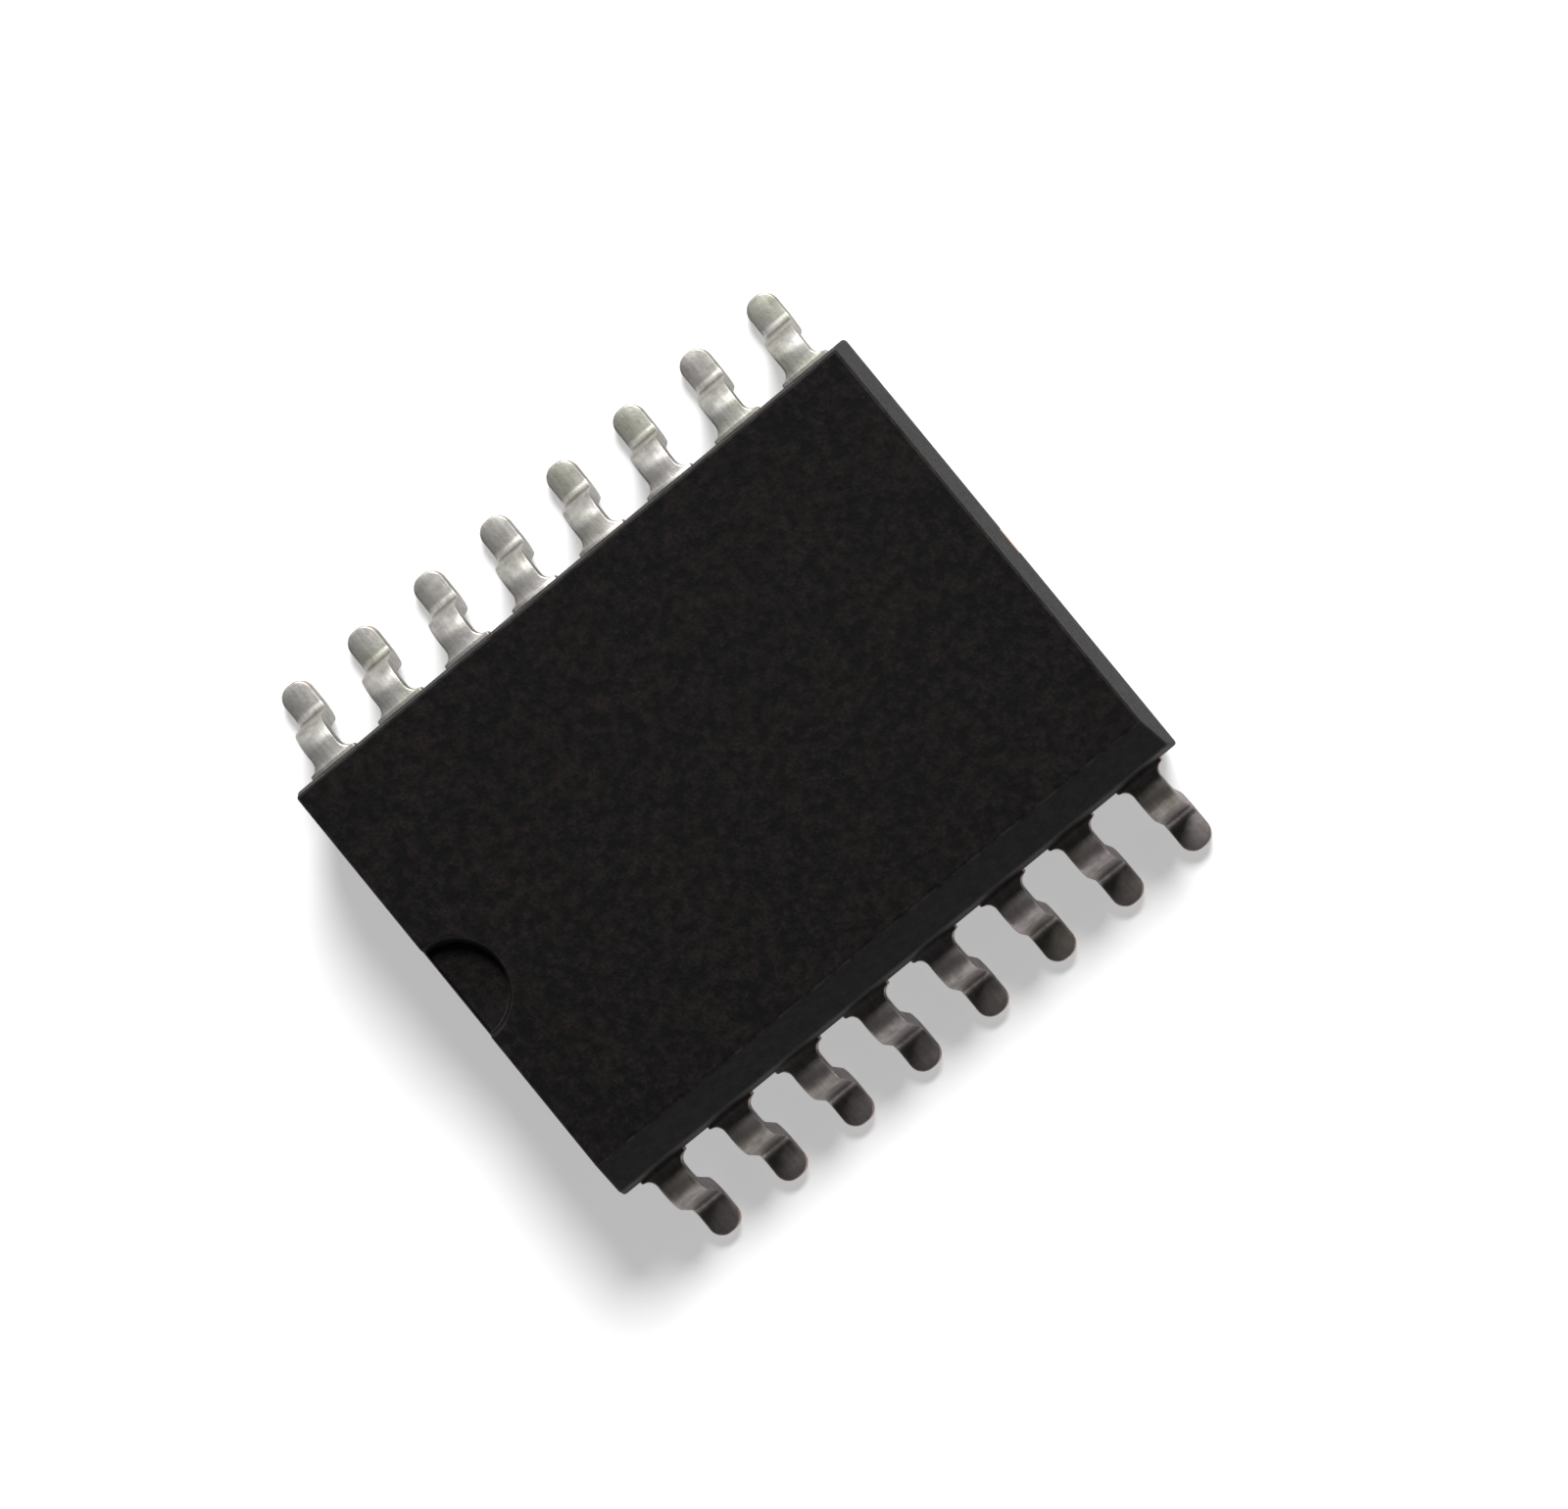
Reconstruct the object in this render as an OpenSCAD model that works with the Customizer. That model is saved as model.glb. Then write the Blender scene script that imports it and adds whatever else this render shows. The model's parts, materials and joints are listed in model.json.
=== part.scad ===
// Sixteen-lead wide small-outline package for surface mounting, in millimetres.
// The origin is the middle of the seating plane, +Z points away from the board and
// +X runs along the rows of leads. Lead 1 stands at -X on the -Y side, lead 8 at its
// other end, and leads 9 to 16 come back along the +Y side.

/* [Moulded body] */
// Length of the body, along the rows of leads
body_l = 10.3; // [10:0.05:13]
// Width of the body, from one row of leads to the other
body_w = 7.5; // [7:0.05:9]
// Thickness of the body
body_t = 2.3; // [2.1:0.05:2.6]
// Clear height between the board and the underside of the body
standoff = 0.2; // [0.1:0.01:0.3]
// Draft of the walls above the parting line, in degrees
draft_above = 7; // [2:0.5:10]
// Draft of the walls below the parting line, in degrees
draft_below = 7; // [2:0.5:10]
// Width of the bevel along the top edge on the side of lead 1
bevel = 0.5; // [0.25:0.05:0.7]

/* [Marks of the mould] */
// Radius of the half-moon recess at the lead 1 end
notch_r = 0.8; // [0.4:0.05:1.2]
// Depth of the half-moon recess
notch_depth = 0.25; // [0.1:0.01:0.4]
// Diameter of the two ejector marks on the underside
ejector_d = 1.2; // [0.8:0.05:1.6]
// Depth of the ejector marks
ejector_depth = 0.06; // [0.02:0.01:0.1]
// Distance between the ejector marks, centre to centre
ejector_span = 5.4; // [4:0.1:6.5]

/* [Leads outside the body] */
// Distance from one lead to the next
pitch = 1.27; // [1.2:0.01:1.33]
// Width of a lead
lead_w = 0.5; // [0.45:0.01:0.51]
// Thickness of the lead frame, which is that of every lead
lead_t = 0.25; // [0.2:0.01:0.3]
// How far a lead reaches out from the side of the body
lead_reach = 1.4; // [1.35:0.01:1.9]
// Straight stretch of a lead between the body and its first bend
shoulder = 0.3; // [0.25:0.01:0.4]
// Inner radius of both bends
bend_r = 0.15; // [0.1:0.01:0.18]
// Lean of the leg of a lead away from upright, in degrees
leg_lean = 8; // [2:0.5:12]
// Radius of the corners at the tip of the foot
tip_r = 0.22; // [0.05:0.01:0.22]
// Width of a lead where it leaves the body, with what is left of its dam bar
root_w = 0.82; // [0.68:0.01:0.84]
// Length of that wide root outside the body, before it narrows
root_l = 0.05; // [0.02:0.01:0.08]

/* [Leads inside the body] */
// How far the wide root reaches into the body
anchor_l = 0.7; // [0.55:0.05:0.9]
// Diameter of the hole in each root, which the moulding compound fills
lock_d = 0.3; // [0.2:0.01:0.4]
// Width of the fingers inside the body
finger_w = 0.38; // [0.3:0.01:0.42]
// How far in from the side of the body the four middle fingers of a row turn
middle_knee = 0.9; // [0.8:0.05:1]
// How far in the fingers next to those turn
third_knee = 1.05; // [0.9:0.05:1.15]
// How far in the fingers at the ends of a row turn
end_knee = 1.35; // [1.2:0.05:1.45]
// Length of the straight tip of a finger, or half of it on the fingers at the ends
finger_end_l = 0.3; // [0.2:0.02:0.34]
// Clear gap between the fingers and the die pad or its tie bars
finger_gap = 0.22; // [0.18:0.01:0.28]

/* [Die pad] */
// Length of the die pad
pad_l = 4.3; // [3.9:0.1:4.8]
// Width of the die pad
pad_w = 3; // [2.9:0.1:3.4]
// How far the die pad is set down below the leads
downset = 0.25; // [0.15:0.01:0.35]
// Width of the tie bar at each end of the die pad
tie_w = 0.44; // [0.3:0.02:0.5]
// Length of the sloped stretch of each tie bar
tie_slope = 0.45; // [0.35:0.05:0.6]

/* [Die] */
// Length of the die
die_l = 3; // [2.4:0.1:3.4]
// Width of the die
die_w = 2; // [1.6:0.1:2.4]
// Thickness of the die
die_t = 0.28; // [0.2:0.01:0.35]
// Thickness of the adhesive under the die
attach_t = 0.03; // [0.02:0.01:0.05]
// How far the adhesive shows around the die
attach_rim = 0.12; // [0.05:0.01:0.18]

/* [Bond wires] */
// Diameter of a bond wire
wire_d = 0.034; // [0.026:0.002:0.05]
// Height of the wire loops above the die
loop_h = 0.24; // [0.16:0.01:0.32]
// Diameter of the ball at the die end of a wire
ball_d = 0.09; // [0.07:0.005:0.12]
// Height of that ball
ball_h = 0.026; // [0.02:0.001:0.04]
// Distance from the edge of the die to the middle of a ball
ball_inset = 0.13; // [0.1:0.01:0.2]
// Flat tail of a wire on its finger
tail_l = 0.09; // [0.06:0.01:0.12]
// Distance from the end of a finger to the end of the wire's loop
stitch_inset = 0.16; // [0.1:0.01:0.22]

/* [Hidden] */
leads_per_side = 8;
lead_count = 2 * leads_per_side;
$fn = 48;

mould_black = [0.09, 0.09, 0.095];
tinned = [0.78, 0.77, 0.74];
bare_copper = [0.80, 0.55, 0.38];
silver_epoxy = [0.66, 0.66, 0.64];
silicon = [0.36, 0.39, 0.46];
gold = [0.93, 0.76, 0.32];

// Heights above the board
frame_z = standoff + body_t / 2;
frame_top = frame_z + lead_t / 2;
frame_bottom = frame_z - lead_t / 2;
body_top = standoff + body_t;
pad_z = frame_z - downset;
pad_top = pad_z + lead_t / 2;
die_bottom = pad_top + attach_t;
die_top = die_bottom + die_t;

// Distances from the middle
side_y = body_w / 2;
end_x = body_l / 2;
inset_above = (body_top - frame_top) * tan(draft_above);
inset_below = (frame_bottom - standoff) * tan(draft_below);

// How far cuts run past a face, and arcs past the lines that they touch
cut = 1;
touch = 0.00002;

// The bends of a lead, at the middle of its thickness, and their centres as [y, z]
bend_mid_r = bend_r + lead_t / 2;
bend_run = bend_mid_r * cos(leg_lean);
bend_drop = bend_mid_r * (1 - sin(leg_lean));
leg_run = (frame_z - lead_t / 2 - 2 * bend_drop) * tan(leg_lean);
foot_l = lead_reach - shoulder - 2 * bend_run - leg_run;
upper_bend = [side_y + shoulder, frame_z - bend_mid_r];
lower_bend = [side_y + lead_reach - foot_l, lead_t / 2 + bend_mid_r];

// The fillet that narrows the wide root to the lead
root_fillet = (root_w - lead_w) / 2;

// Where the fingers end around the die pad
end_tip_x = pad_l / 2 + finger_gap;
side_tip_y = pad_w / 2 + finger_gap;
low_tip_y = tie_w / 2 + finger_gap + finger_w / 2;
high_tip_y = low_tip_y + finger_w + finger_gap;
side_tip_share = [0.12, 0.37];
knee_in = [middle_knee, middle_knee, third_knee, end_knee];

// Where the balls sit on the die, as shares of its length or width
ball_share = [0.13, 0.36, 0.34, 0.13];

// The fineness of a wire
wire_sides = 6;
wire_steps = 9;
wire_flat = wire_d / 2 * cos(180 / wire_sides);

function unit(v) = v / norm(v);
function left_of(v) = [-v[1], v[0]];

// Offset of a strip's edge at the corner b of a path through a, b and c
function mitre(a, b, c) =
    let (n = left_of(unit(b - a)) + left_of(unit(c - b)))
    2 * n / (n * n);

// Offsets of a strip's edge at each point of a path
function edge_offsets(path) = [
    for (k = [0:len(path) - 1])
        k == 0 ? left_of(unit(path[1] - path[0]))
        : k == len(path) - 1 ? left_of(unit(path[k] - path[k - 1]))
        : mitre(path[k - 1], path[k], path[k + 1])
];

// Outline of a strip of one width along a path, counterclockwise
function strip(path, width) =
    let (offsets = edge_offsets(path), last = len(path) - 1)
    concat(
        [for (k = [0:last]) path[k] - offsets[k] * width / 2],
        [for (k = [last:-1:0]) path[k] + offsets[k] * width / 2]
    );

// Outline of the body in a plane through its middle, for a given half width
function wall_outline(half) = [
    [-half + inset_below, standoff],
    [half - inset_below, standoff],
    [half, frame_bottom],
    [half, frame_top],
    [half - inset_above, body_top],
    [-half + inset_above, body_top],
    [-half, frame_top],
    [-half, frame_bottom]
];

// Leads are worked out on the +Y side, by their place x along the row
function lead_x(i) = ((leads_per_side - 1) / 2 - (i - 1) % leads_per_side) * pitch;
function lead_turn(i) = i <= leads_per_side ? 180 : 0;
function side_of(x) = x < 0 ? -1 : 1;
function rank(x) = round(abs(x) / pitch - 0.5);

// The path of a finger from its root to its tip. The two middle ranks end at the
// long side of the die pad, and the two outer ones at its end.
function finger_path(x) =
    let (
        r = rank(x),
        side = side_of(x),
        tip = r < 2 ? [side * side_tip_share[r] * pad_l, side_tip_y]
            : [side * end_tip_x, r == 2 ? high_tip_y : low_tip_y],
        run = r < 2 ? [0, finger_end_l] : [side * finger_end_l * (r - 1), 0]
    )
    [[x, side_y - anchor_l / 2], [x, side_y - knee_in[r]], tip + run, tip];

// Where the loop of a wire lands on a finger, and where its ball sits on the die
function stitch_at(x) =
    let (path = finger_path(x), back = unit(path[2] - path[3]))
    path[3] + back * stitch_inset;
function ball_at(x) =
    let (r = rank(x), side = side_of(x))
    r < 2 ? [side * ball_share[r] * die_l, die_w / 2 - ball_inset]
    : [side * (die_l / 2 - ball_inset), ball_share[r] * die_w];

function bezier(p, t) =
    p[0] * pow(1 - t, 3) + p[1] * 3 * t * pow(1 - t, 2)
    + p[2] * 3 * t * t * (1 - t) + p[3] * pow(t, 3);

// Middle line of a wire in its own upright plane: distance from the ball, and height
function wire_line(run) =
    let (
        start = die_top + ball_h / 2,
        land = frame_top + wire_flat,
        loop = [
            [0, start],
            [0.02 * run, die_top + 1.5 * loop_h],
            [0.45 * run, die_top + 1.3 * loop_h],
            [run, land]
        ]
    )
    concat([for (k = [0:wire_steps]) bezier(loop, k / wire_steps)], [[run + tail_l, land]]);

// Direction of a wire at each point of its middle line; its tail lies level
function wire_heading(line, k) =
    k >= wire_steps ? [1, 0]
    : k == 0 ? unit(line[1] - line[0])
    : unit(line[k + 1] - line[k - 1]);

module upright_profile(length) {
    rotate([90, 0, 0])
        linear_extrude(height = length, center = true)
            children();
}

module lengthwise_profile(length) {
    rotate([90, 0, 90])
        linear_extrude(height = length, center = true)
            children();
}

module drafted_block() {
    intersection() {
        upright_profile(body_w + cut) polygon(wall_outline(end_x));
        lengthwise_profile(body_l + cut) polygon(wall_outline(side_y));
    }
}

// The wedge above the bevel, which runs at 45 degrees down to the drafted wall
module bevel_wedge() {
    wall_y = -side_y + (body_top - bevel - frame_top) * tan(draft_above);
    lengthwise_profile(body_l + cut)
        polygon([
            [wall_y - cut, body_top - bevel - cut],
            [wall_y + bevel + cut, body_top + cut],
            [wall_y - cut, body_top + cut]
        ]);
}

module half_moon() {
    translate([-end_x + inset_above, 0, body_top - notch_depth])
        cylinder(r = notch_r, h = notch_depth + cut);
}

module ejector_marks() {
    for (s = [-1, 1])
        translate([s * ejector_span / 2, 0, standoff - cut])
            cylinder(d = ejector_d, h = ejector_depth + cut);
}

module moulded_body() {
    color(mould_black)
        difference() {
            drafted_block();
            bevel_wedge();
            half_moon();
            ejector_marks();
            die_pad();
            die_attach();
            die();
            for (i = [1:lead_count]) {
                lead(i);
                bond_wire(i);
            }
        }
}

// The lead outside its root, with a quarter circle at each corner of its tip
module foot_plan(x) {
    translate([x - lead_w / 2, side_y - lead_t])
        square([lead_w, lead_t + lead_reach - tip_r]);
    translate([x - lead_w / 2 + tip_r, side_y + lead_reach - 2 * tip_r])
        square([lead_w - 2 * tip_r, 2 * tip_r]);
    for (s = [-1, 1])
        translate([x + s * (lead_w / 2 - tip_r), side_y + lead_reach - tip_r])
            circle(r = tip_r);
}

module root_plan(x) {
    difference() {
        translate([x - root_w / 2, side_y - anchor_l])
            square([root_w, anchor_l + root_l + root_fillet]);
        for (s = [-1, 1])
            translate([x + s * root_w / 2, side_y + root_l + root_fillet])
                circle(r = root_fillet);
    }
}

// A lead seen from above: foot, root and finger, with its lock hole
module lead_plan(x) {
    difference() {
        union() {
            foot_plan(x);
            root_plan(x);
            polygon(strip(finger_path(x), finger_w));
        }
        translate([x, side_y - anchor_l / 2])
            circle(d = lock_d);
    }
}

// What lies under one face of a formed lead, seen along its row. The face is the
// middle line of the lead moved up by rise: level strip, bend, leg, bend and foot.
module under_face(rise) {
    out = [cos(leg_lean), sin(leg_lean)];
    upper_r = bend_mid_r + rise;
    lower_r = bend_mid_r - rise;
    tip_y = lower_bend[0] + foot_l;
    difference() {
        union() {
            polygon([
                [0, -cut],
                [tip_y, -cut],
                [tip_y, lead_t / 2 + rise],
                [lower_bend[0], lead_t / 2 + rise],
                lower_bend,
                lower_bend - lower_r * out,
                upper_bend + upper_r * out,
                upper_bend,
                [upper_bend[0], frame_z + rise],
                [0, frame_z + rise]
            ]);
            translate(upper_bend)
                circle(r = upper_r + touch);
        }
        translate(lower_bend)
            circle(r = lower_r + touch);
    }
}

module lead_profile() {
    difference() {
        under_face(lead_t / 2);
        under_face(-lead_t / 2);
    }
}

module lead(i) {
    color(tinned)
        rotate(lead_turn(i))
            intersection() {
                linear_extrude(height = body_top)
                    lead_plan(lead_x(i));
                lengthwise_profile(body_l + cut)
                    lead_profile();
            }
}

module tie_bars() {
    slope_x = pad_l / 2 + tie_slope / 2;
    for (s = [0, 180])
        rotate(s)
            upright_profile(tie_w)
                polygon(strip([
                    [0, pad_z],
                    [slope_x, pad_z],
                    [slope_x + tie_slope, frame_z],
                    [end_x, frame_z]
                ], lead_t));
}

module die_pad() {
    color(bare_copper)
        union() {
            translate([-pad_l / 2, -pad_w / 2, pad_z - lead_t / 2])
                cube([pad_l, pad_w, lead_t]);
            tie_bars();
        }
}

module die_attach() {
    attach_l = die_l + 2 * attach_rim;
    attach_w = die_w + 2 * attach_rim;
    color(silver_epoxy)
        translate([-attach_l / 2, -attach_w / 2, pad_top])
            cube([attach_l, attach_w, attach_t]);
}

module die() {
    color(silicon)
        translate([-die_l / 2, -die_w / 2, die_bottom])
            cube([die_l, die_w, die_t]);
}

// A tube of flat facets along a line in the XZ plane, with level top and bottom facets
module wire_tube(line) {
    rings = len(line);
    points = [
        for (k = [0:rings - 1], j = [0:wire_sides - 1])
            let (h = wire_heading(line, k), a = 360 * j / wire_sides, r = wire_d / 2)
            [
                line[k][0] - h[1] * r * sin(a),
                r * cos(a),
                line[k][1] + h[0] * r * sin(a)
            ]
    ];
    walls = [
        for (k = [0:rings - 2], j = [0:wire_sides - 1])
            let (a = k * wire_sides + j, b = k * wire_sides + (j + 1) % wire_sides)
            [a, a + wire_sides, b + wire_sides, b]
    ];
    first = [for (j = [0:wire_sides - 1]) j];
    last = [for (j = [wire_sides - 1:-1:0]) (rings - 1) * wire_sides + j];
    polyhedron(points = points, faces = concat([first, last], walls));
}

module bond_wire(i) {
    x = lead_x(i);
    from = ball_at(x);
    to = stitch_at(x);
    heading = to - from;
    color(gold)
        rotate(lead_turn(i))
            translate([from[0], from[1], 0])
                rotate(atan2(heading[1], heading[0])) {
                    translate([0, 0, die_top])
                        cylinder(d = ball_d, h = ball_h, $fn = 12);
                    wire_tube(wire_line(norm(heading)));
                }
}

moulded_body();
die_pad();
die_attach();
die();
for (i = [1:lead_count]) {
    lead(i);
    bond_wire(i);
}
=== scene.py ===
"""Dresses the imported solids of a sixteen-lead wide small-outline package, in metres.

The block of moulding compound and the sixteen leads are modelled again with their
rounded edges; the die pad, adhesive, die and bond wires inside keep their solids.
"""

import json
import math

import bmesh
import bpy
from mathutils import Matrix, Vector

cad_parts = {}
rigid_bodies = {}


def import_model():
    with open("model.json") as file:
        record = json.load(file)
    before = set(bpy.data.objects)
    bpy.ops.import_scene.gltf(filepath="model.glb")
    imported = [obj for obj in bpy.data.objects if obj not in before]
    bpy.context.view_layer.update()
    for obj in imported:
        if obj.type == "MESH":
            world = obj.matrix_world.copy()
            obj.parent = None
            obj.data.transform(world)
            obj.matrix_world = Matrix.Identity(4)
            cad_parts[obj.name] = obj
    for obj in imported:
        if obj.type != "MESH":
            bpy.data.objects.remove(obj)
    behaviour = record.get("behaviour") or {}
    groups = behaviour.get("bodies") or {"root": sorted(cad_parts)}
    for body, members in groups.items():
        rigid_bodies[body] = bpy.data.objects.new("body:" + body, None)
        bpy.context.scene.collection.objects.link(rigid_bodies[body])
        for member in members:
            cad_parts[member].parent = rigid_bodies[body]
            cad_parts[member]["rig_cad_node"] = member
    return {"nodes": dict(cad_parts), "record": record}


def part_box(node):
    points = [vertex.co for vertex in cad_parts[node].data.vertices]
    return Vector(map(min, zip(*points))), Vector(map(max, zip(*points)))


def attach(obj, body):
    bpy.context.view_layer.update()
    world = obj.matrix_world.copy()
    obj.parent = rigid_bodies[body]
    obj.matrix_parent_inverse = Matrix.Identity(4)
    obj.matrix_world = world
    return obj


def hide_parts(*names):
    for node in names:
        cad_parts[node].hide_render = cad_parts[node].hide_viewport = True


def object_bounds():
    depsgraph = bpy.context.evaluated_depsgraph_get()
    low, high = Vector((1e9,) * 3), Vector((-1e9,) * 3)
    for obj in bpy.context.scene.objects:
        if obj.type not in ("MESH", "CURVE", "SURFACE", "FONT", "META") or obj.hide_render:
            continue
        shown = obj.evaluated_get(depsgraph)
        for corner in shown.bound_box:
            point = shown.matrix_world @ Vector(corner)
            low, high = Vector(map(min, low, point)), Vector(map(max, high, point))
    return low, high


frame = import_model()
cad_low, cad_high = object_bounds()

MM = 0.001
RECORD = frame["record"]
MOUNTS = {mount["name"]: mount for mount in RECORD["mounts"]}
LEADS_PER_SIDE = 8

# Heights and half sizes of the block, from its solid
body_low, body_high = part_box("moulded_body")
STANDOFF = body_low.z
BODY_TOP = body_high.z
END_X = body_high.x
SIDE_Y = body_high.y

# The lead frame lies midway up the block, and the tie bars reach its top face
FRAME_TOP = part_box("die_pad")[1].z
FRAME_Z = (STANDOFF + BODY_TOP) / 2
LEAD_T = 2 * (FRAME_TOP - FRAME_Z)
FRAME_BOTTOM = FRAME_TOP - LEAD_T

# The mould: walls drafted both ways from a band as thick as the lead frame
DRAFT = math.radians(7)
BEVEL = 0.5 * MM
NOTCH_R = 0.8 * MM
NOTCH_DEPTH = 0.25 * MM
NOTCH_DRAFT = 0.04 * MM
EJECTOR_R = 0.6 * MM
EJECTOR_DEPTH = 0.06 * MM
EJECTOR_X = 2.7 * MM
BLOCK_ROUND = 0.045 * MM
WALL_DROP = (BODY_TOP - STANDOFF - LEAD_T) / 2
WALL_INSET = WALL_DROP * math.tan(DRAFT)

# A lead outside the block
LEAD_W = 0.5 * MM
SHOULDER = 0.3 * MM
BEND_R = 0.15 * MM
LEG_LEAN = math.radians(8)
TIP_R = 0.22 * MM
ROOT_W = 0.82 * MM
ROOT_L = 0.05 * MM
ROOT_FILLET = (ROOT_W - LEAD_W) / 2
LEAD_ROUND = 0.03 * MM

# A lead inside the block
PITCH = MOUNTS["foot_10"]["pos_m"][0] - MOUNTS["foot_11"]["pos_m"][0]
ANCHOR_L = 0.7 * MM
LOCK_R = 0.15 * MM
FINGER_W = 0.38 * MM
FINGER_GAP = 0.22 * MM
TIE_W = 0.44 * MM
PAD_HALF_L = 2.15 * MM
PAD_HALF_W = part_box("die_pad")[1].y
TIP_RUN = 0.3 * MM
# Places of the two middle fingers' tips beside the pad, as shares of its length
SIDE_TIP_SHARE = (0.12, 0.37)
# How far in from the wall each finger turns, from the middle of the row outwards
KNEE_IN = (0.9 * MM, 0.9 * MM, 1.05 * MM, 1.35 * MM)

# The bends, at the middle of the lead's thickness
TIP_Y = cad_high.y
BEND_MID_R = BEND_R + LEAD_T / 2
BEND_ANGLE = math.pi / 2 - LEG_LEAN
BEND_RUN = BEND_MID_R * math.sin(BEND_ANGLE)
BEND_DROP = BEND_MID_R * (1 - math.cos(BEND_ANGLE))
LEG_DROP = FRAME_Z - LEAD_T / 2 - 2 * BEND_DROP
LEG_RUN = LEG_DROP * math.tan(LEG_LEAN)
BEND_Y = SIDE_Y + SHOULDER
FOOT_L = TIP_Y - BEND_Y - 2 * BEND_RUN - LEG_RUN

# How finely round shapes are divided
BEND_STEPS = 14
FILLET_STEPS = 6
TIP_STEPS = 10
MARK_SIDES = 96
HOLE_SIDES = 32
BLOCK_ROUND_STEPS = 4
LEAD_ROUND_STEPS = 3

# Edges that turn by more than these are rounded, or stay sharp in the shading
BLOCK_EDGE_TURN = math.radians(5)
LEAD_EDGE_TURN = math.radians(40)
SHARP_TURN = math.radians(32)

# Points nearer than NEAR to a plane are on it, and those within MERGE are one
NEAR = 0.002 * MM
MERGE = 1e-8
# A face points up or down if its normal leans less than this cosine says
UPRIGHT = 0.9
# How far the seats of the tie bars are cut past the block's ends
OVERCUT = 0.01 * MM


# ---------------------------------------------------------------- modelling helpers

def deselect_all():
    if bpy.context.object and bpy.context.object.mode != "OBJECT":
        bpy.ops.object.mode_set(mode="OBJECT")
    bpy.ops.object.select_all(action="DESELECT")


def make_active(piece):
    deselect_all()
    piece.select_set(True)
    bpy.context.view_layer.objects.active = piece


def begin_edit(piece, kind="FACE"):
    make_active(piece)
    bpy.ops.object.mode_set(mode="EDIT")
    bpy.ops.mesh.select_mode(type=kind)
    bpy.ops.mesh.select_all(action="DESELECT")


def end_edit():
    bpy.ops.object.mode_set(mode="OBJECT")


def edit_mesh():
    return bmesh.from_edit_mesh(bpy.context.edit_object.data)


def select_faces(test):
    mesh = edit_mesh()
    for face in mesh.faces:
        face.select_set(test(face))
    bmesh.update_edit_mesh(bpy.context.edit_object.data)


def select_edges(test):
    mesh = edit_mesh()
    for edge in mesh.edges:
        edge.select_set(test(edge))
    bmesh.update_edit_mesh(bpy.context.edit_object.data)


def select_verts(test):
    mesh = edit_mesh()
    for vert in mesh.verts:
        vert.select_set(test(vert))
    mesh.select_flush_mode()
    bmesh.update_edit_mesh(bpy.context.edit_object.data)


def extrude(value):
    bpy.ops.mesh.extrude_region_move(TRANSFORM_OT_translate={"value": tuple(value)})


def resize(x, y, z, centre):
    bpy.ops.transform.resize(value=(x, y, z), center_override=tuple(centre))


def add_block(name, low, high):
    """A cube primitive between two corners, with its place in its mesh."""
    deselect_all()
    low, high = Vector(low), Vector(high)
    bpy.ops.mesh.primitive_cube_add(size=1, location=(low + high) / 2)
    piece = bpy.context.object
    piece.name = name
    piece.scale = high - low
    bpy.ops.object.transform_apply(location=True, rotation=True, scale=True)
    return piece


def add_rod(name, stand, radius, height, sides, top_radius=None):
    """A cylinder, or a cone with its own top_radius, that stands on a point."""
    deselect_all()
    middle = Vector(stand) + Vector((0, 0, height / 2))
    bpy.ops.mesh.primitive_cone_add(
        vertices=sides,
        radius1=radius,
        radius2=radius if top_radius is None else top_radius,
        depth=height,
        location=middle,
    )
    piece = bpy.context.object
    piece.name = name
    bpy.ops.object.transform_apply(location=True, rotation=True, scale=True)
    return piece


def cut_with(piece, cutter):
    """Takes the cutter out of the piece and removes it."""
    cut = piece.modifiers.new("cut", "BOOLEAN")
    cut.operation = "DIFFERENCE"
    cut.solver = "MANIFOLD"
    cut.object = cutter
    make_active(piece)
    bpy.ops.object.modifier_apply(modifier=cut.name)
    bpy.data.objects.remove(cutter)


def round_edges(piece, width, steps, turn):
    """A small radius on every edge that turns by more than turn."""
    soften = piece.modifiers.new("round", "BEVEL")
    soften.width = width
    soften.segments = steps
    soften.limit_method = "ANGLE"
    soften.angle_limit = turn
    soften.use_clamp_overlap = False
    make_active(piece)
    bpy.ops.object.modifier_apply(modifier=soften.name)


def close_up(piece):
    """Merges doubles and points the faces outwards."""
    begin_edit(piece)
    bpy.ops.mesh.select_all(action="SELECT")
    bpy.ops.mesh.remove_doubles(threshold=MERGE)
    bpy.ops.mesh.normals_make_consistent(inside=False)
    end_edit()


def smooth(piece):
    """Smooths the rounded edges and keeps the flat faces flat."""
    make_active(piece)
    bpy.ops.object.shade_smooth()
    begin_edit(piece, "EDGE")
    bpy.ops.mesh.edges_select_sharp(sharpness=SHARP_TURN)
    bpy.ops.mesh.mark_sharp()
    end_edit()
    even = piece.modifiers.new("even", "WEIGHTED_NORMAL")
    even.weight = 100
    even.keep_sharp = True
    bpy.ops.object.modifier_apply(modifier=even.name)


def copy_of(piece, name):
    """A copy with its own mesh."""
    twin = piece.copy()
    twin.data = piece.data.copy()
    twin.name = name
    bpy.context.scene.collection.objects.link(twin)
    return twin


def finish_piece(piece, material, slot, *nodes):
    """Gives a piece its material and its place in the frame."""
    piece.data.materials.clear()
    piece.data.materials.append(material)
    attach(piece, "root")
    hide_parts(*nodes)


# ---------------------------------------------------------------- the moulded block

def faces_up(face):
    return face.normal.z > UPRIGHT


def faces_down(face):
    return face.normal.z < -UPRIGHT


def grow_half(rise, test):
    """Extrudes one flat side of the parting band into its drafted half of the block."""
    select_faces(test)
    extrude((0, 0, rise))
    level = FRAME_Z + math.copysign(LEAD_T / 2, rise) + rise
    resize(1 - WALL_INSET / END_X, 1 - WALL_INSET / SIDE_Y, 1, (0, 0, level))


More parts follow.
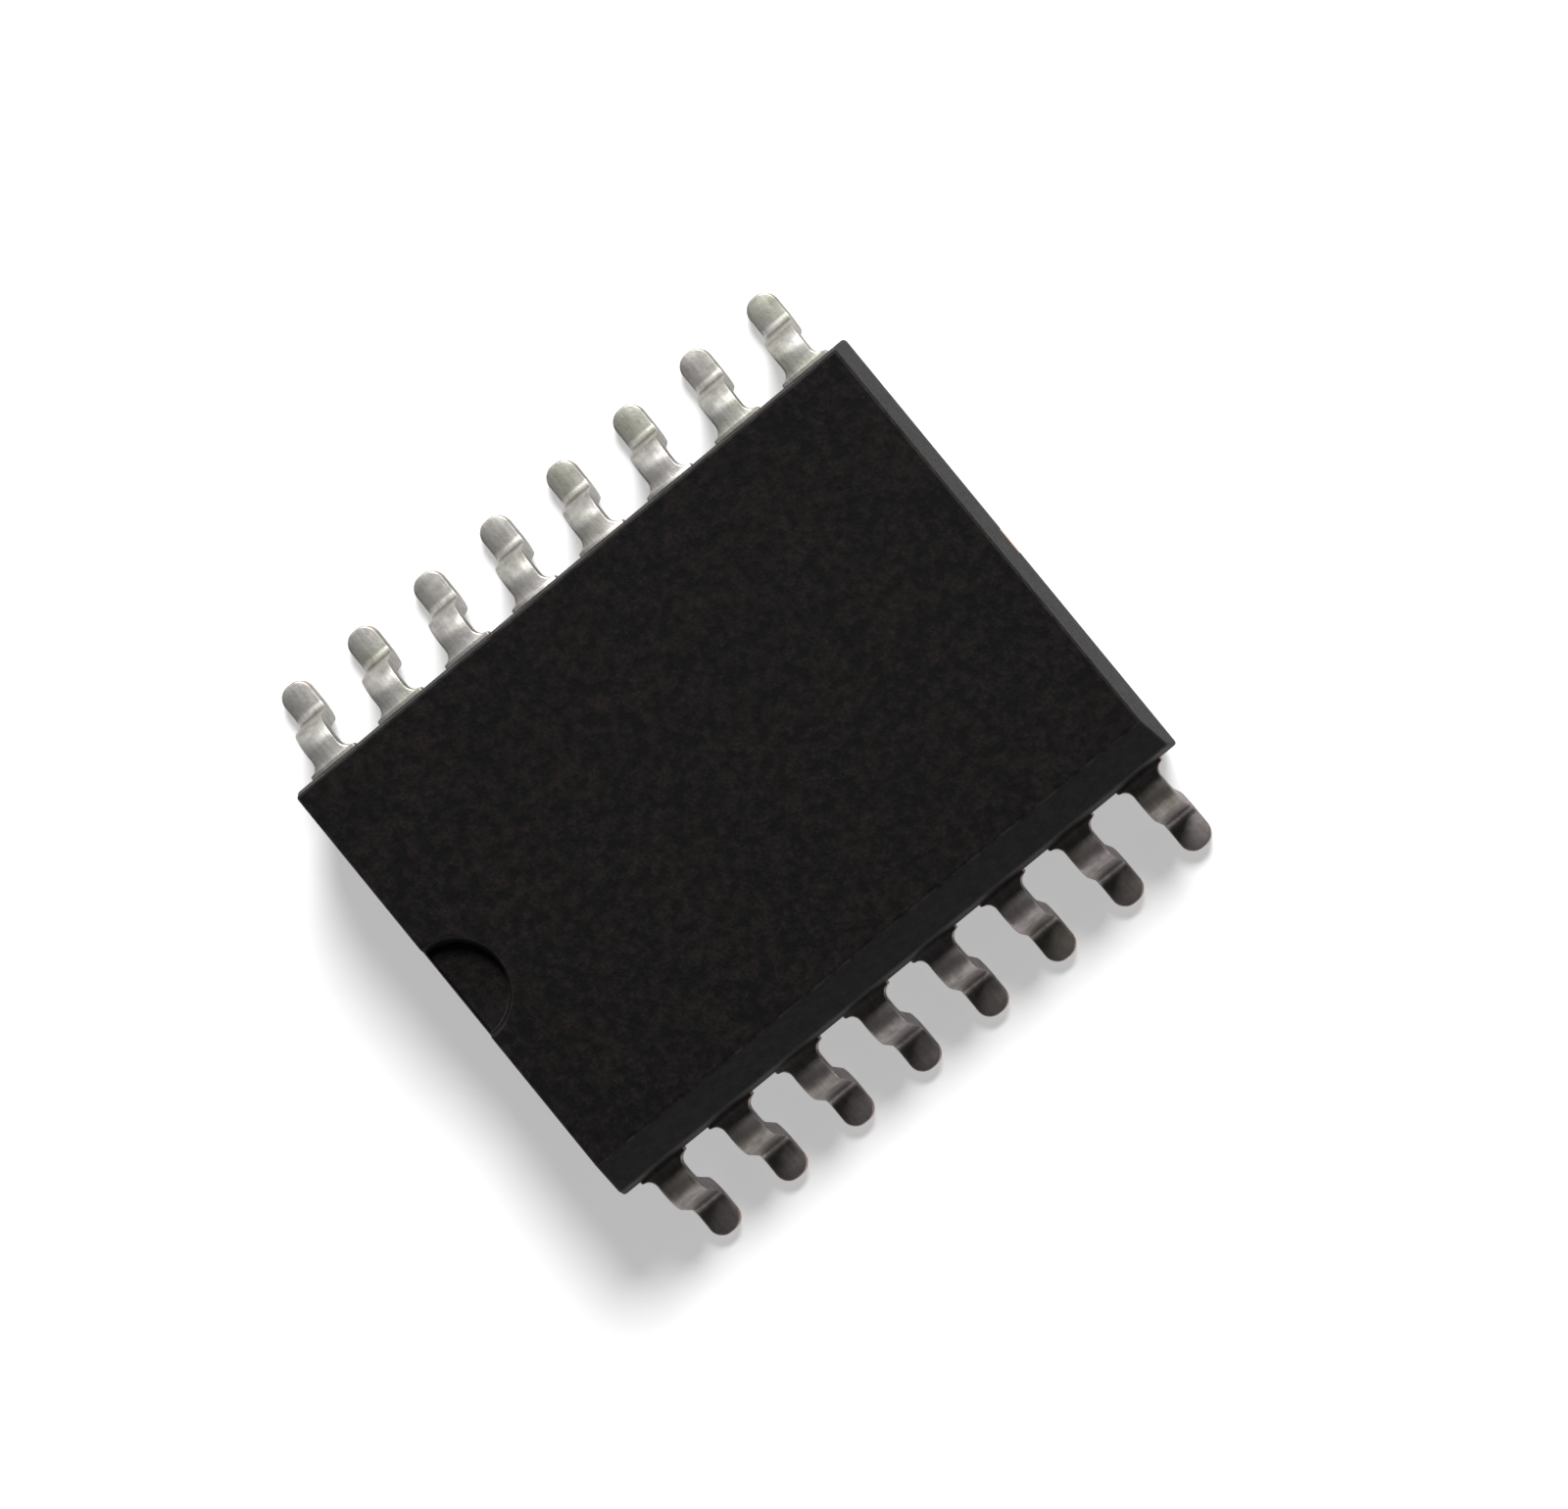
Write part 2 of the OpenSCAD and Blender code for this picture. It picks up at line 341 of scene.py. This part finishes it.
def slice_bevel():
    """Cuts the long top edge on the side of lead 1 at 45 degrees."""
    bpy.ops.mesh.select_all(action="SELECT")
    top_edge_y = -SIDE_Y + (WALL_DROP - BEVEL) * math.tan(DRAFT)
    bpy.ops.mesh.bisect(
        plane_co=(0, top_edge_y, BODY_TOP - BEVEL),
        plane_no=(0, -1, 1),
        clear_outer=True,
        use_fill=True,
    )


def cut_notch(block):
    """The half-moon recess in the top edge of one end."""
    stand = (-END_X + WALL_INSET, 0, BODY_TOP - NOTCH_DEPTH)
    low_r, high_r = NOTCH_R - NOTCH_DRAFT, NOTCH_R + NOTCH_DRAFT
    cut_with(block, add_rod("notch", stand, low_r, 2 * NOTCH_DEPTH, MARK_SIDES, high_r))


def cut_ejector_marks(block):
    """Two shallow round marks in the underside."""
    for side in (-1, 1):
        stand = (side * EJECTOR_X, 0, STANDOFF - EJECTOR_DEPTH)
        mark = add_rod("ejector_mark", stand, EJECTOR_R, 2 * EJECTOR_DEPTH, MARK_SIDES)
        cut_with(block, mark)


def mould_block():
    """The block of compound round all that it holds."""
    block = add_block(
        "mould_block",
        (-END_X, -SIDE_Y, FRAME_BOTTOM),
        (END_X, SIDE_Y, FRAME_TOP),
    )
    begin_edit(block)
    grow_half(WALL_DROP, faces_up)
    grow_half(-WALL_DROP, faces_down)
    slice_bevel()
    end_edit()
    cut_notch(block)
    cut_ejector_marks(block)
    round_edges(block, BLOCK_ROUND, BLOCK_ROUND_STEPS, BLOCK_EDGE_TURN)
    seat_inner_pieces(block)
    close_up(block)
    smooth(block)
    return block


def seat_inner_pieces(block):
    """Cuts the cavity that the leads, the pad, the adhesive, the die and the wires fill."""
    for node in frame["nodes"].values():
        if node["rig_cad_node"] == "moulded_body":
            continue
        cutter = copy_of(node, "seat")
        cutter.parent = None
        begin_edit(cutter)
        bpy.ops.mesh.select_all(action="SELECT")
        bpy.ops.mesh.remove_doubles(threshold=MERGE)
        select_verts(lambda vert: abs(vert.co.x) > END_X - NEAR)
        resize(1 + OVERCUT / END_X, 1, 1, (0, 0, 0))
        end_edit()
        cut_with(block, cutter)


# ---------------------------------------------------------------- a formed lead

def rank_of(x):
    """0 for the two leads in the middle of a row, up to 3 for those at its ends."""
    return round(abs(x) / PITCH - 0.5)


def finger_path(x):
    """The middle line of a finger inside the block, from the root's inner end to its tip."""
    rank = rank_of(x)
    side = math.copysign(1, x)
    if rank < 2:
        tip = Vector((side * SIDE_TIP_SHARE[rank] * 2 * PAD_HALF_L, PAD_HALF_W + FINGER_GAP))
        run = Vector((0, TIP_RUN))
    else:
        low_y = TIE_W / 2 + FINGER_GAP + FINGER_W / 2
        high_y = low_y + FINGER_W + FINGER_GAP
        tip = Vector((side * (PAD_HALF_L + FINGER_GAP), high_y if rank == 2 else low_y))
        run = Vector((side * TIP_RUN * (rank - 1), 0))
    inner_end = Vector((x, SIDE_Y - ANCHOR_L))
    knee = Vector((x, SIDE_Y - KNEE_IN[rank]))
    return [inner_end, knee, tip + run, tip]


def left_of(v):
    """The same length, a quarter turn to the left."""
    return Vector((-v.y, v.x))


def edge_offsets(path):
    """How far the left edge of a strip of width 2 lies from each point of its path."""
    offsets = []
    for k in range(len(path)):
        ways = []
        if k > 0:
            ways.append((path[k] - path[k - 1]).normalized())
        if k < len(path) - 1:
            ways.append((path[k + 1] - path[k]).normalized())
        normal = sum((left_of(way) for way in ways), Vector((0, 0)))
        offsets.append(normal * len(ways) / normal.length_squared)
    return offsets


def at_y(y):
    """A test for faces that lie in the plane at y."""
    return lambda face: all(abs(vert.co.y - y) < NEAR for vert in face.verts)


def narrow_end(x, y):
    """Splits the inner end of the root so that its middle is as wide as the finger."""
    for side in (-1, 1):
        select_faces(at_y(y))
        bpy.ops.mesh.bisect(
            plane_co=(x + side * FINGER_W / 2, 0, 0), plane_no=(1, 0, 0)
        )
    select_faces(
        lambda face: at_y(y)(face)
        and abs(face.calc_center_median().x - x) < FINGER_W / 4
    )


def extend_finger(x):
    """Extrudes the selected end along the finger's path, with mitred corners."""
    path = finger_path(x)
    offsets = edge_offsets(path)
    for k in range(1, len(path)):
        step = path[k] - path[k - 1]
        extrude((step.x, step.y, 0))
        # Each side of the new end moves on to where it is mitred
        ends = [vert.index for vert in edit_mesh().verts if vert.select]
        for side in (-1, 1):
            shift = (offsets[k] - offsets[k - 1]) * side * FINGER_W / 2
            before = path[k] + offsets[k - 1] * side * FINGER_W / 2
            select_verts(
                lambda vert: vert.index in ends and (vert.co.xy - before).length < NEAR
            )
            bpy.ops.transform.translate(value=(shift.x, shift.y, 0))
        select_verts(lambda vert: vert.index in ends)


def flare_root(x):
    """Widens the lead towards the block along a concave quarter circle, then goes on inside."""
    start_y = SIDE_Y + ROOT_L + ROOT_FILLET
    select_faces(at_y(start_y))
    half, y = LEAD_W / 2, start_y
    for k in range(1, FILLET_STEPS + 1):
        turn = math.pi / 2 * k / FILLET_STEPS
        next_half = ROOT_W / 2 - ROOT_FILLET * math.cos(turn)
        next_y = start_y - ROOT_FILLET * math.sin(turn)
        extrude((0, next_y - y, 0))
        resize(next_half / half, 1, 1, (x, next_y, FRAME_Z))
        half, y = next_half, next_y
    extrude((0, SIDE_Y - ANCHOR_L - y, 0))


def bend_outwards(x):
    """Shoulder, bend, leg, bend and foot, from the outer end of the straight strip."""
    select_faces(at_y(BEND_Y))
    upper = (x, BEND_Y, FRAME_Z - BEND_MID_R)
    bpy.ops.mesh.spin(steps=BEND_STEPS, angle=BEND_ANGLE, center=upper, axis=(1, 0, 0))
    extrude((0, LEG_RUN, -LEG_DROP))
    lower = (x, TIP_Y - FOOT_L, LEAD_T / 2 + BEND_MID_R)
    bpy.ops.mesh.spin(steps=BEND_STEPS, angle=BEND_ANGLE, center=lower, axis=(-1, 0, 0))
    extrude((0, FOOT_L, 0))


def round_tip():
    """Rounds the two upright edges at the tip."""
    bpy.ops.mesh.select_mode(type="EDGE")
    select_edges(
        lambda edge: all(abs(vert.co.y - TIP_Y) < NEAR for vert in edge.verts)
        and abs(edge.verts[0].co.x - edge.verts[1].co.x) < NEAR
    )
    bpy.ops.mesh.bevel(
        offset=TIP_R, offset_type="OFFSET", segments=TIP_STEPS, affect="EDGES"
    )
    bpy.ops.mesh.select_mode(type="FACE")


def formed_lead(x):
    """One lead on the +Y side, at x along the row."""
    lead = add_block(
        "formed_lead",
        (x - LEAD_W / 2, SIDE_Y + ROOT_L + ROOT_FILLET, FRAME_BOTTOM),
        (x + LEAD_W / 2, BEND_Y, FRAME_TOP),
    )
    begin_edit(lead)
    bend_outwards(x)
    round_tip()
    flare_root(x)
    narrow_end(x, SIDE_Y - ANCHOR_L)
    extend_finger(x)
    end_edit()
    close_up(lead)
    stand = (x, SIDE_Y - ANCHOR_L / 2, FRAME_BOTTOM - LEAD_T)
    cut_with(lead, add_rod("lock_hole", stand, LOCK_R, 3 * LEAD_T, HOLE_SIDES))
    round_edges(lead, LEAD_ROUND, LEAD_ROUND_STEPS, LEAD_EDGE_TURN)
    close_up(lead)
    smooth(lead)
    return lead


def all_leads(material):
    """Leads 9 to 16 stand along +Y, and leads 1 to 8 are the same turned half round."""
    for n in range(LEADS_PER_SIDE):
        x = ((LEADS_PER_SIDE - 1) / 2 - n) * PITCH
        far = formed_lead(x)
        near = copy_of(far, f"formed_lead_{n + 1}")
        near.data.transform(Matrix.Rotation(math.pi, 4, "Z"))
        far.name = f"formed_lead_{n + 1 + LEADS_PER_SIDE}"
        finish_piece(near, material, "tinned_lead", f"lead_{n + 1}")
        finish_piece(far, material, "tinned_lead", f"lead_{n + 1 + LEADS_PER_SIDE}")


# ---------------------------------------------------------------- finishes

# Colours, as shares of red, green and blue
EPOXY_BLACK = (0.0026, 0.0022, 0.0026)
EPOXY_BROWN = (0.0050, 0.0038, 0.0034)
EPOXY_SPECK = (0.0120, 0.0094, 0.0090)
# Painted glints: bright spots in the compound's colour
EPOXY_GLINT = (0.026, 0.023, 0.022)
# Painted highlight for the rounded edges of the block
EPOXY_EDGE_HIGHLIGHT = (0.032, 0.029, 0.028)
TIN_GREY = (0.66, 0.63, 0.61)
TIN_PALE = (0.70, 0.68, 0.64)
TIN_OLIVE = (0.62, 0.615, 0.53)
SHEARED_COPPER = (0.60, 0.36, 0.24)
SILVER_PLATING = (0.80, 0.79, 0.76)
COPPER_DARK = (0.60, 0.34, 0.22)
COPPER_LIGHT = (0.73, 0.46, 0.32)
FLAKE_LIGHT = (0.74, 0.74, 0.72)
FLAKE_DARK = (0.42, 0.42, 0.41)
CHIP_BLUE = (0.115, 0.125, 0.165)
CHIP_VIOLET = (0.165, 0.140, 0.175)
CELL_COOL = (0.72, 0.74, 0.80)
CELL_WARM = (1.0, 0.97, 0.95)
GOLD_DARK = (0.86, 0.60, 0.20)
GOLD_LIGHT = (0.96, 0.72, 0.30)

# Tints, which multiply the epoxy by its grit, and which paint shade onto the tin on legs, in
# lead 1's row and on the side faces
GRIT_DARK = (0.20, 0.22, 0.21)
GRIT_LIGHT = (1.55, 1.38, 1.34)
# The next three are painted shade on the tin
LEG_PAINTED_SHADE = (0.62, 0.61, 0.60)
ROW_1_PAINTED_SHADE = (0.74, 0.685, 0.715)
SIDE_PAINTED_SHADE = (0.50, 0.49, 0.48)

# How much of the copper shows where the tin is sheared off
SHEAR_SHARE = 0.7

# Reach of the silver plating on the finger ends
SPOT_X = 2.95 * MM
SPOT_Y = 2.15 * MM

# Where the bare copper of the sheared tip begins, and where that of the dam bar's cut ends
TOE_Y = TIP_Y - 0.9 * TIP_R
CUT_Y = SIDE_Y + ROOT_L + 0.5 * ROOT_FILLET

X, Y, Z = range(3)

# Places of the sockets that a Mix node uses for colours: share, first, second and result
COLOUR_MIX_INPUTS = (0, 6, 7)
COLOUR_MIX_OUTPUT = 2


class Finish:
    """A node material read from Object coordinates, built up by short calls."""

    def __init__(self, name):
        self.material = bpy.data.materials.new(name)
        self.material.use_nodes = True
        self.nodes = self.material.node_tree.nodes
        self.links = self.material.node_tree.links
        self.shader = self.nodes["Principled BSDF"]
        self.place = self.node("ShaderNodeTexCoord").outputs["Object"]
        self.facing = self.node("ShaderNodeNewGeometry").outputs["Normal"]

    def node(self, kind, **settings):
        made = self.nodes.new(kind)
        for key, value in settings.items():
            setattr(made, key, value)
        return made

    def link(self, source, target):
        self.links.new(source, target)

    def feed(self, socket, value):
        """Gives a socket a link, a colour or a number."""
        if isinstance(value, bpy.types.NodeSocket):
            self.link(value, socket)
        elif isinstance(value, tuple):
            socket.default_value = (*value, 1)
        else:
            socket.default_value = value

    def set(self, **values):
        """Constants on the shader's own sockets."""
        for key, value in values.items():
            self.feed(self.shader.inputs[key.replace("_", " ")], value)

    def colour(self, source):
        self.link(source, self.shader.inputs["Base Color"])

    def roughness(self, source):
        self.link(source, self.shader.inputs["Roughness"])

    def noise(self, size, detail=3.0, roughness=0.6, stretch=None):
        """Noise whose grains are about size across."""
        made = self.node("ShaderNodeTexNoise")
        made.inputs["Scale"].default_value = 1 / size
        made.inputs["Detail"].default_value = detail
        made.inputs["Roughness"].default_value = roughness
        place = self.place
        if stretch:
            mapping = self.node("ShaderNodeMapping")
            mapping.inputs["Scale"].default_value = stretch
            self.link(place, mapping.inputs["Vector"])
            place = mapping.outputs["Vector"]
        self.link(place, made.inputs["Vector"])
        return made.outputs["Fac"]

    def cells(self, size):
        """Distance from the middle of cells about size across."""
        made = self.node("ShaderNodeTexVoronoi")
        made.inputs["Scale"].default_value = 1 / size
        self.link(self.place, made.inputs["Vector"])
        return made.outputs["Distance"]

    def tiles(self, length, width, gap, first, second):
        """Rows of rectangles in two colours, with a lighter line between them."""
        made = self.node("ShaderNodeTexBrick", offset=0.37, offset_frequency=2, squash=0.6)
        made.inputs["Scale"].default_value = 1 / MM
        made.inputs["Brick Width"].default_value = length / MM
        made.inputs["Row Height"].default_value = width / MM
        made.inputs["Mortar Size"].default_value = gap * width / MM
        self.feed(made.inputs["Color1"], first)
        self.feed(made.inputs["Color2"], second)
        self.feed(made.inputs["Mortar"], tuple(1.5 * level for level in second))
        self.link(self.place, made.inputs["Vector"])
        return made.outputs["Color"]

    def ramp(self, source, *stops):
        """A colour ramp: stops are (place, grey or colour)."""
        made = self.node("ShaderNodeValToRGB")
        elements = made.color_ramp.elements
        while len(elements) < len(stops):
            elements.new(0.5)
        for element, (at, value) in zip(elements, stops):
            element.position = at
            colour = value if isinstance(value, tuple) else (value,) * 3
            element.color = (*colour, 1)
        self.link(source, made.inputs["Fac"])
        return made.outputs["Color"]

    def mix(self, share, first, second, blend="MIX"):
        """The first colour with a share of the second."""
        made = self.node("ShaderNodeMix", data_type="RGBA", blend_type=blend)
        for socket, value in zip(COLOUR_MIX_INPUTS, (share, first, second)):
            self.feed(made.inputs[socket], value)
        return made.outputs[COLOUR_MIX_OUTPUT]

    def shade(self, colour, tint, share=1.0):
        """The colour multiplied by a tint, wholly or where share says."""
        return self.mix(share, colour, tint, "MULTIPLY")

    def maths(self, operation, *values):
        made = self.node("ShaderNodeMath", operation=operation)
        for socket, value in zip(made.inputs, values):
            self.feed(socket, value)
        return made.outputs["Value"]

    def part(self, vector, axis):
        made = self.node("ShaderNodeSeparateXYZ")
        self.link(vector, made.inputs["Vector"])
        return made.outputs[axis]

    def size_of(self, vector, axis):
        """One part of a vector without its sign."""
        return self.maths("ABSOLUTE", self.part(vector, axis))

    def both(self, first, second):
        """One share times another."""
        return self.maths("MULTIPLY", first, second)

    def bump(self, *layers):
        """Stacked bumps: layers are (height, depth in metres)."""
        normal = None
        for height, depth in layers:
            made = self.node("ShaderNodeBump")
            made.inputs["Distance"].default_value = depth
            self.link(height, made.inputs["Height"])
            if normal:
                self.link(normal, made.inputs["Normal"])
            normal = made.outputs["Normal"]
        self.link(normal, self.shader.inputs["Normal"])


def mould_compound():
    """Black epoxy full of fine silica, with painted glints and a painted highlight on its
    rounded edges.
    """
    f = Finish("mould_compound")
    f.set(Specular_IOR_Level=0.2)
    grain = f.noise(0.055 * MM, detail=4, roughness=0.7)
    grit = f.noise(0.16 * MM, detail=2, roughness=0.5)
    mottle = f.noise(0.9 * MM, detail=3)

    colour = f.ramp(mottle, (0.35, EPOXY_BLACK), (0.65, EPOXY_BROWN))
    specks = f.ramp(grain, (0.45, 0.0), (0.68, 1.0))
    colour = f.mix(specks, colour, EPOXY_SPECK)
    colour = f.shade(colour, f.ramp(grit, (0.36, GRIT_DARK), (0.64, GRIT_LIGHT)))
    # Painted glints: small bright cells mixed into the colour
    glints = f.ramp(f.cells(0.05 * MM), (0.0, 1.0), (0.16, 0.0))
    colour = f.mix(glints, colour, EPOXY_GLINT)

    # Painted highlight: the rounded edges, where the normal turns between wall and top, are
    # painted lighter in patches of noise
    slope = f.size_of(f.facing, Z)
    edges = f.ramp(slope, (0.74, 0.0), (0.84, 1.0), (0.93, 1.0), (0.985, 0.0))
    highlight_breakup = f.ramp(f.noise(0.25 * MM, detail=5), (0.42, 0.1), (0.62, 1.0))
    colour = f.mix(f.both(edges, highlight_breakup), colour, EPOXY_EDGE_HIGHLIGHT)

    f.colour(colour)
    f.roughness(f.ramp(grain, (0.3, 0.56), (0.7, 0.74)))
    swell = f.noise(0.4 * MM, detail=2)
    f.bump((swell, 0.004 * MM), (grit, 0.006 * MM), (grain, 0.005 * MM))
    return f.material


def rolling_lines(f):
    return f.noise(0.04 * MM, detail=3, stretch=(0.06, 1.0, 1.0))


def rolled_copper(f, rolled):
    """The colour of bare copper alloy, darker in the rolling lines."""
    stain = f.noise(0.7 * MM, detail=2)
    colour = f.ramp(stain, (0.3, COPPER_DARK), (0.7, COPPER_LIGHT))
    return f.shade(colour, f.ramp(rolled, (0.3, 0.88), (0.7, 1.0)))


def matt_tin(f, blotch, drawn):
    """The colour of tin plate: clouds of tarnish, with painted shade on the legs, over the row
    of lead 1 and on the side faces.
    """
    tarnish = f.noise(0.9 * MM, detail=2)
    tin = f.ramp(tarnish, (0.35, TIN_GREY), (0.5, TIN_PALE), (0.65, TIN_OLIVE))
    tin = f.shade(tin, f.ramp(blotch, (0.35, 0.72), (0.6, 1.0)))
    tin = f.shade(tin, f.ramp(drawn, (0.3, 0.8), (0.65, 1.0)))

    # Painted shade: the steep faces of the legs and bends, which face out from the row, are
    # darkened
    leg_shade_share = f.ramp(f.size_of(f.facing, Y), (0.60, 0.0), (0.86, 1.0))
    tin = f.shade(tin, LEG_PAINTED_SHADE, leg_shade_share)
    # Painted shade: the whole row of leads 1 to 8, on the -Y side, is darkened and tinted
    # purple
    lead_1_row = f.maths("LESS_THAN", f.part(f.place, Y), 0.0)
    tin = f.shade(tin, ROW_1_PAINTED_SHADE, lead_1_row)
    # Painted shade: the faces that look along the row, the sides of the leads, are darkened
    side_shade_share = f.ramp(f.size_of(f.facing, X), (0.45, 0.0), (0.85, 1.0))
    return f.shade(tin, SIDE_PAINTED_SHADE, side_shade_share)


def sheared_ends(f, y):
    """Where copper shows: the end face of the tip, and the dam bar's cuts at the root."""
    toe = f.both(
        f.maths("GREATER_THAN", y, TOE_Y),
        f.maths("LESS_THAN", f.size_of(f.facing, Z), 0.3),
    )
    root = f.both(
        f.maths("LESS_THAN", y, CUT_Y),
        f.maths("GREATER_THAN", f.size_of(f.facing, X), 0.6),
    )
    upright = f.noise(0.02 * MM, detail=2, stretch=(1.0, 1.0, 0.12))
    streaks = f.ramp(upright, (0.35, 0.35), (0.65, 1.0))
    return f.both(f.both(f.maths("MAXIMUM", toe, root), streaks), SHEAR_SHARE)


def tinned_lead():
    """Matt tin plate outside the block and bare copper inside it, with silver finger ends."""
    f = Finish("tinned_lead")
    f.set(Metallic=1.0)
    x = f.size_of(f.place, X)
    y = f.size_of(f.place, Y)
    blotch = f.noise(0.16 * MM, detail=3)
    drawn = f.noise(0.05 * MM, detail=3, stretch=(1.0, 0.1, 0.1))
    matt = f.noise(0.022 * MM, detail=4, roughness=0.7)

    outside = f.mix(sheared_ends(f, y), matt_tin(f, blotch, drawn), SHEARED_COPPER)
    plated = f.both(f.maths("LESS_THAN", x, SPOT_X), f.maths("LESS_THAN", y, SPOT_Y))
    inside = f.mix(plated, rolled_copper(f, rolling_lines(f)), SILVER_PLATING)
    f.colour(f.mix(f.maths("LESS_THAN", y, SIDE_Y), outside, inside))

    fine = f.ramp(matt, (0.3, 0.44), (0.7, 0.60))
    coarse = f.ramp(blotch, (0.35, 0.58), (0.6, 0.46))
    f.roughness(f.mix(0.5, fine, coarse))
    f.bump((blotch, 0.003 * MM), (drawn, 0.0015 * MM), (matt, 0.0015 * MM))
    return f.material


def copper_alloy():
    """Stamped copper alloy, with fine rolling lines and dull stains."""
    f = Finish("copper_alloy")
    f.set(Metallic=1.0)
    rolled = rolling_lines(f)
    f.colour(rolled_copper(f, rolled))
    f.roughness(f.ramp(rolled, (0.3, 0.32), (0.7, 0.46)))
    f.bump((rolled, 0.0003 * MM))
    return f.material


def silver_epoxy():
    """Grey adhesive full of silver flakes."""
    f = Finish("silver_epoxy")
    f.set(Metallic=0.4)
    flakes = f.cells(0.02 * MM)
    f.colour(f.ramp(flakes, (0.1, FLAKE_LIGHT), (0.6, FLAKE_DARK)))
    f.roughness(f.ramp(flakes, (0.1, 0.35), (0.6, 0.7)))
    f.bump((flakes, 0.003 * MM))
    return f.material


def silicon():
    """Polished silicon under oxide, with blocks of fine wiring."""
    f = Finish("silicon")
    f.set(Metallic=0.6, Coat_Weight=0.4, Coat_Roughness=0.05)
    blocks = f.tiles(1.1 * MM, 0.62 * MM, 0.012, CHIP_BLUE, CHIP_VIOLET)
    cells = f.tiles(0.16 * MM, 0.03 * MM, 0.06, CELL_COOL, CELL_WARM)
    haze = f.noise(0.5 * MM, detail=2)
    f.colour(f.shade(f.shade(blocks, cells), f.ramp(haze, (0.3, 0.82), (0.7, 1.0))))
    f.roughness(f.ramp(haze, (0.3, 0.10), (0.7, 0.20)))
    return f.material


def gold_wire():
    """Drawn gold."""
    f = Finish("gold_wire")
    f.set(Metallic=1.0)
    drawn = f.noise(0.01 * MM, detail=2)
    f.colour(f.ramp(drawn, (0.3, GOLD_DARK), (0.7, GOLD_LIGHT)))
    f.roughness(f.ramp(drawn, (0.3, 0.16), (0.7, 0.26)))
    return f.material


def dress_inner_pieces():
    """Finishes for the solids that stay: pad, adhesive, die and wires."""
    finishes = {
        "copper_alloy": copper_alloy(),
        "silver_epoxy": silver_epoxy(),
        "silicon": silicon(),
        "gold_wire": gold_wire(),
    }
    for part in RECORD["subparts"]:
        if part["material_slot"] in finishes:
            node = frame["nodes"][part["node"]]
            node.data.materials.clear()
            node.data.materials.append(finishes[part["material_slot"]])


# ---------------------------------------------------------------- the setting

FLOOR_SIZE = 120 * MM
FLOOR_DROP = 0.002 * MM
FLOOR_GREY = (0.9, 0.9, 0.9)
FLOOR_GLOW = 0.45

# The sky is pale up to one height and dark from the other, as sines
WHITE = (1, 1, 1)
OVERHEAD = (0.02, 0.02, 0.02)
HORIZON_TOP = 0.08
DARK_FROM = 0.3

KEY_WAY = Vector((0.45, 0.57, 0.688))
KEY_DISTANCE = 760 * MM
KEY_SIZE = 316 * MM
KEY_POWER = 6.64

VIEW_AZIMUTH = math.radians(70.0)
VIEW_ELEVATION = math.radians(83.5)
VIEW_ROLL = math.radians(-109.4)
VIEW_AIM = Vector((0.648 * MM, -0.285 * MM, 1.0 * MM))
VIEW_DISTANCE = 95.0 * MM
VIEW_LENS = 151.2
VIEW_REACH = (1 * MM, 2000 * MM)


def pale_floor():
    """White paper that glows a little, so that the shadow on it stays light."""
    deselect_all()
    bpy.ops.mesh.primitive_plane_add(size=FLOOR_SIZE, location=(0, 0, -FLOOR_DROP))
    floor = bpy.context.object
    floor.name = "floor"
    bpy.ops.object.transform_apply(location=True, rotation=True, scale=True)
    f = Finish("floor_paper")
    f.set(Roughness=0.9, Specular_IOR_Level=0.1, Base_Color=FLOOR_GREY)
    f.set(Emission_Color=WHITE, Emission_Strength=FLOOR_GLOW)
    floor.data.materials.append(f.material)


def key_light():
    """One large soft disk, turned to the part."""
    light = bpy.data.lights.new("key", "AREA")
    light.shape = "DISK"
    light.size = KEY_SIZE
    light.energy = KEY_POWER
    lamp = bpy.data.objects.new("key", light)
    bpy.context.scene.collection.objects.link(lamp)
    lamp.location = KEY_WAY * KEY_DISTANCE
    lamp.rotation_euler = (-KEY_WAY).to_track_quat("-Z", "Y").to_euler()


def pale_horizon():
    """A world that is pale at and below the horizon and dark overhead."""
    world = bpy.data.worlds.new("studio")
    world.use_nodes = True
    nodes, links = world.node_tree.nodes, world.node_tree.links
    way = nodes.new("ShaderNodeTexCoord").outputs["Generated"]
    parts = nodes.new("ShaderNodeSeparateXYZ")
    sky = nodes.new("ShaderNodeValToRGB")
    low, high = sky.color_ramp.elements
    sky.color_ramp.interpolation = "EASE"
    low.position, high.position = HORIZON_TOP, DARK_FROM
    low.color = (*WHITE, 1)
    high.color = (*OVERHEAD, 1)
    links.new(way, parts.inputs["Vector"])
    links.new(parts.outputs["Z"], sky.inputs["Fac"])
    links.new(sky.outputs["Color"], nodes["Background"].inputs["Color"])
    bpy.context.scene.world = world
    bpy.context.scene.view_settings.view_transform = "Standard"


def camera():
    """Looks almost straight down, turned so that the rows run up to the right."""
    flat = math.cos(VIEW_ELEVATION)
    back = Vector((
        math.sin(VIEW_AZIMUTH) * flat,
        -math.cos(VIEW_AZIMUTH) * flat,
        math.sin(VIEW_ELEVATION),
    ))
    right = Vector((0, 0, 1)).cross(back).normalized()
    up = back.cross(right)
    turned_right = right * math.cos(VIEW_ROLL) + up * math.sin(VIEW_ROLL)
    turned_up = up * math.cos(VIEW_ROLL) - right * math.sin(VIEW_ROLL)
    data = bpy.data.cameras.new("view")
    data.lens = VIEW_LENS
    data.clip_start, data.clip_end = VIEW_REACH
    eye = bpy.data.objects.new("view", data)
    bpy.context.scene.collection.objects.link(eye)
    place = Matrix((turned_right, turned_up, back)).transposed().to_4x4()
    place.translation = VIEW_AIM + back * VIEW_DISTANCE
    eye.matrix_world = place
    bpy.context.scene.camera = eye


camera()
key_light()
pale_horizon()
pale_floor()
finish_piece(mould_block(), mould_compound(), "mould_compound", "moulded_body")
all_leads(tinned_lead())
dress_inner_pieces()
